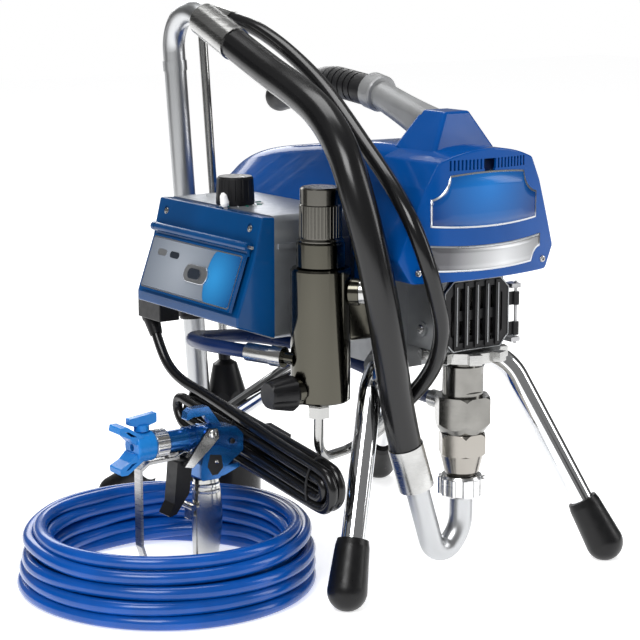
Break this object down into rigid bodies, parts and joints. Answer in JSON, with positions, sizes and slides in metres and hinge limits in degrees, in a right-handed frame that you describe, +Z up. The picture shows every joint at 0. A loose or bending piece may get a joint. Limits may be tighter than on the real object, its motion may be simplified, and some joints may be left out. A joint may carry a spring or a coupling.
{
  "type": "airless paint sprayer",
  "caption": "Stand-mounted electric airless paint sprayer with carry handle, upright piston pump, filter, suction and drain tubes, spray gun and coiled hose.",
  "frame": {"origin": "on the floor, at the centre of the footprint of the stand and the gun together", "axes": "+Z up; -Y is the front, with the pump and the front cover; the control box is on the -X side; +Y is the back, with the suction and drain tubes"},
  "size_m": [0.534, 0.4519, 0.5224],
  "materials": {
    "blue_cover": "glossy moulded plastic",
    "blue_box": "glossy moulded plastic",
    "door_panel": null,
    "cast_grey": "satin die casting",
    "arm_silver": "satin painted casting",
    "grip_rubber": "soft moulded rubber",
    "foot_rubber": "moulded rubber",
    "leg_chrome": "plated tube",
    "tube_satin": "satin tube",
    "steel_plain": "turned steel",
    "steel_drain": "bright thin tube",
    "nickel_dark": "dark plated steel",
    "zinc": "zinc plate",
    "black_plastic": "moulded plastic",
    "black_gloss": "moulded plastic",
    "white_boot": "white rubber boot",
    "hose_black": "smooth hose",
    "hose_blue": "smooth hose",
    "hose_navy": "smooth hose",
    "cord_black": "cord sheath",
    "gun_blue": "metallic paint",
    "gun_chrome": "satin plating",
    "tip_blue": "light blue plastic",
    "bronze_seal": "packings",
    "copper_iron": "rotor laminations",
    "board_green": "circuit board",
    "mesh_steel": "perforated steel"
  },
  "bodies": {
    "stand": {"stand_cradle": "cast_grey", "front_legs": "leg_chrome", "rear_legs": "leg_chrome", "rubber_feet": "foot_rubber", "motor_can": "steel_plain", "motor_shroud": "blue_cover", "front_cover": "blue_cover", "drive_housing": "cast_grey", "bearing_housing": "cast_grey", "pump_cylinder": "steel_plain", "pump_seals": "bronze_seal", "intake_valve": "nickel_dark", "suction_elbow": "tube_satin", "suction_tube": "tube_satin", "inlet_strainer": "black_plastic", "drip_cup": "black_gloss", "drain_tubes": "steel_drain", "drain_deflector": "black_plastic", "tube_bracket": "black_plastic", "hose_ferrules": "zinc", "handle_arm": "arm_silver", "handle_grip": "grip_rubber", "hinge_pins": "steel_plain", "filter_body": "nickel_dark", "filter_element": "mesh_steel", "outlet_nipple": "zinc", "pressure_sensor": "zinc", "control_housing": "cast_grey", "control_cover": "blue_box", "control_board": "board_green", "cord_gland": "black_plastic", "power_cord": "cord_black", "cord_hank": "cord_black", "power_plug": "black_plastic", "suction_hose": "hose_black", "drain_hose": "hose_black", "whip_hose": "hose_navy", "hose_coil": "hose_blue", "hose_couplings": "zinc"},
    "rotor": {"motor_rotor": "copper_iron"},
    "idler": {"idler_gear": "steel_plain"},
    "crank": {"crank_gear": "steel_plain"},
    "plunger": {"connecting_rod": "steel_plain", "displacement_rod": "steel_plain"},
    "pump_nut": {"clamp_nut": "zinc"},
    "inlet_nut": {"swivel_nut": "tube_satin"},
    "rod_guard": {"pump_guard": "black_plastic"},
    "filter_lid": {"filter_cap": "nickel_dark"},
    "prime_valve": {"prime_knob": "black_plastic"},
    "label_door": {"control_door": "door_panel"},
    "dial": {"pressure_knob": "black_plastic"},
    "power_switch": {"power_toggle": "white_boot"},
    "gun": {"gun_body": "gun_blue", "gun_handle": "gun_chrome", "trigger_guard": "steel_plain"},
    "gun_collar": {"collar_nut": "zinc"},
    "trigger": {"gun_trigger": "gun_chrome"},
    "lock": {"trigger_lock": "gun_chrome"},
    "nozzle_guard": {"tip_guard": "tip_blue"},
    "tip": {"spray_tip": "tip_blue"}
  },
  "joints": [
    {"name": "crank_spin", "type": "hinge", "parent": "stand", "child": "crank", "pos_m": [0.071, -0.108, 0.2578], "axis": [0, 1, 0], "continuous": true},
    {"name": "motor_spin", "type": "hinge", "parent": "stand", "child": "rotor", "pos_m": [0.071, -0.068, 0.3], "axis": [0, 1, 0], "continuous": true},
    {"name": "idler_spin", "type": "hinge", "parent": "stand", "child": "idler", "pos_m": [0.0981, -0.078, 0.283], "axis": [0, 1, 0], "continuous": true},
    {"name": "pump_stroke", "type": "slide", "parent": "stand", "child": "plunger", "axis": [0, 0, 1], "range_m": [-0.012, 0.012]},
    {"name": "clamp_nut_turn", "type": "hinge", "parent": "stand", "child": "pump_nut", "pos_m": [0.071, -0.158, 0.209], "axis": [0, 0, 1], "continuous": true},
    {"name": "swivel_nut_turn", "type": "hinge", "parent": "stand", "child": "inlet_nut", "pos_m": [0.071, -0.158, 0.084], "axis": [0, 0, 1], "continuous": true},
    {"name": "pump_guard_open", "type": "hinge", "parent": "stand", "child": "rod_guard", "pos_m": [0.114, -0.18, 0.245], "axis": [0, 0, 1], "range_deg": [0, 100]},
    {"name": "filter_cap_turn", "type": "hinge", "parent": "stand", "child": "filter_lid", "pos_m": [-0.058, -0.114, 0.33], "axis": [0, 0, 1], "continuous": true},
    {"name": "prime_valve_turn", "type": "hinge", "parent": "stand", "child": "prime_valve", "pos_m": [-0.089, -0.114, 0.184], "axis": [1, 0, 0], "range_deg": [0, 90]},
    {"name": "control_door_flip", "type": "hinge", "parent": "stand", "child": "label_door", "pos_m": [-0.1095, 0.004, 0.3115], "axis": [0, 1, 0], "range_deg": [0, 100]},
    {"name": "pressure_dial_turn", "type": "hinge", "parent": "stand", "child": "dial", "pos_m": [-0.069, 0.009, 0.345], "axis": [0, 0, 1], "range_deg": [-270, 0]},
    {"name": "power_switch_flip", "type": "hinge", "parent": "stand", "child": "power_switch", "pos_m": [-0.091, -0.01, 0.335], "axis": [0, 1, 0], "range_deg": [0, 24]},
    {"name": "gun_lift", "type": "slide", "parent": "stand", "child": "gun", "axis": [0, 0, 1], "range_m": [0, 0.05]},
    {"name": "gun_collar_turn", "type": "hinge", "parent": "gun", "child": "gun_collar", "pos_m": [-0.179, -0.032, 0.133], "axis": [1, 0, 0], "continuous": true},
    {"name": "trigger_pull", "type": "hinge", "parent": "gun", "child": "trigger", "pos_m": [-0.129, -0.032, 0.137], "axis": [0, -1, 0], "range_deg": [0, 8], "stiffness_Nm_per_rad": 1.5, "springref_deg": -5.73},
    {"name": "trigger_lock_turn", "type": "hinge", "parent": "gun", "child": "lock", "pos_m": [-0.1485, -0.032, 0.069], "axis": [0, -1, 0], "range_deg": [-80, 0]},
    {"name": "tip_guard_turn", "type": "hinge", "parent": "gun", "child": "nozzle_guard", "pos_m": [-0.197, -0.032, 0.133], "axis": [1, 0, 0], "range_deg": [-90, 90]},
    {"name": "spray_tip_turn", "type": "hinge", "parent": "nozzle_guard", "child": "tip", "pos_m": [-0.197, -0.032, 0.133], "axis": [0, 0, 1], "range_deg": [0, 180]}
  ],
  "couplings": [
    {"joint": "idler_spin", "follows": "crank_spin", "ratio": -4.2857},
    {"joint": "motor_spin", "follows": "crank_spin", "ratio": 15.306}
  ]
}
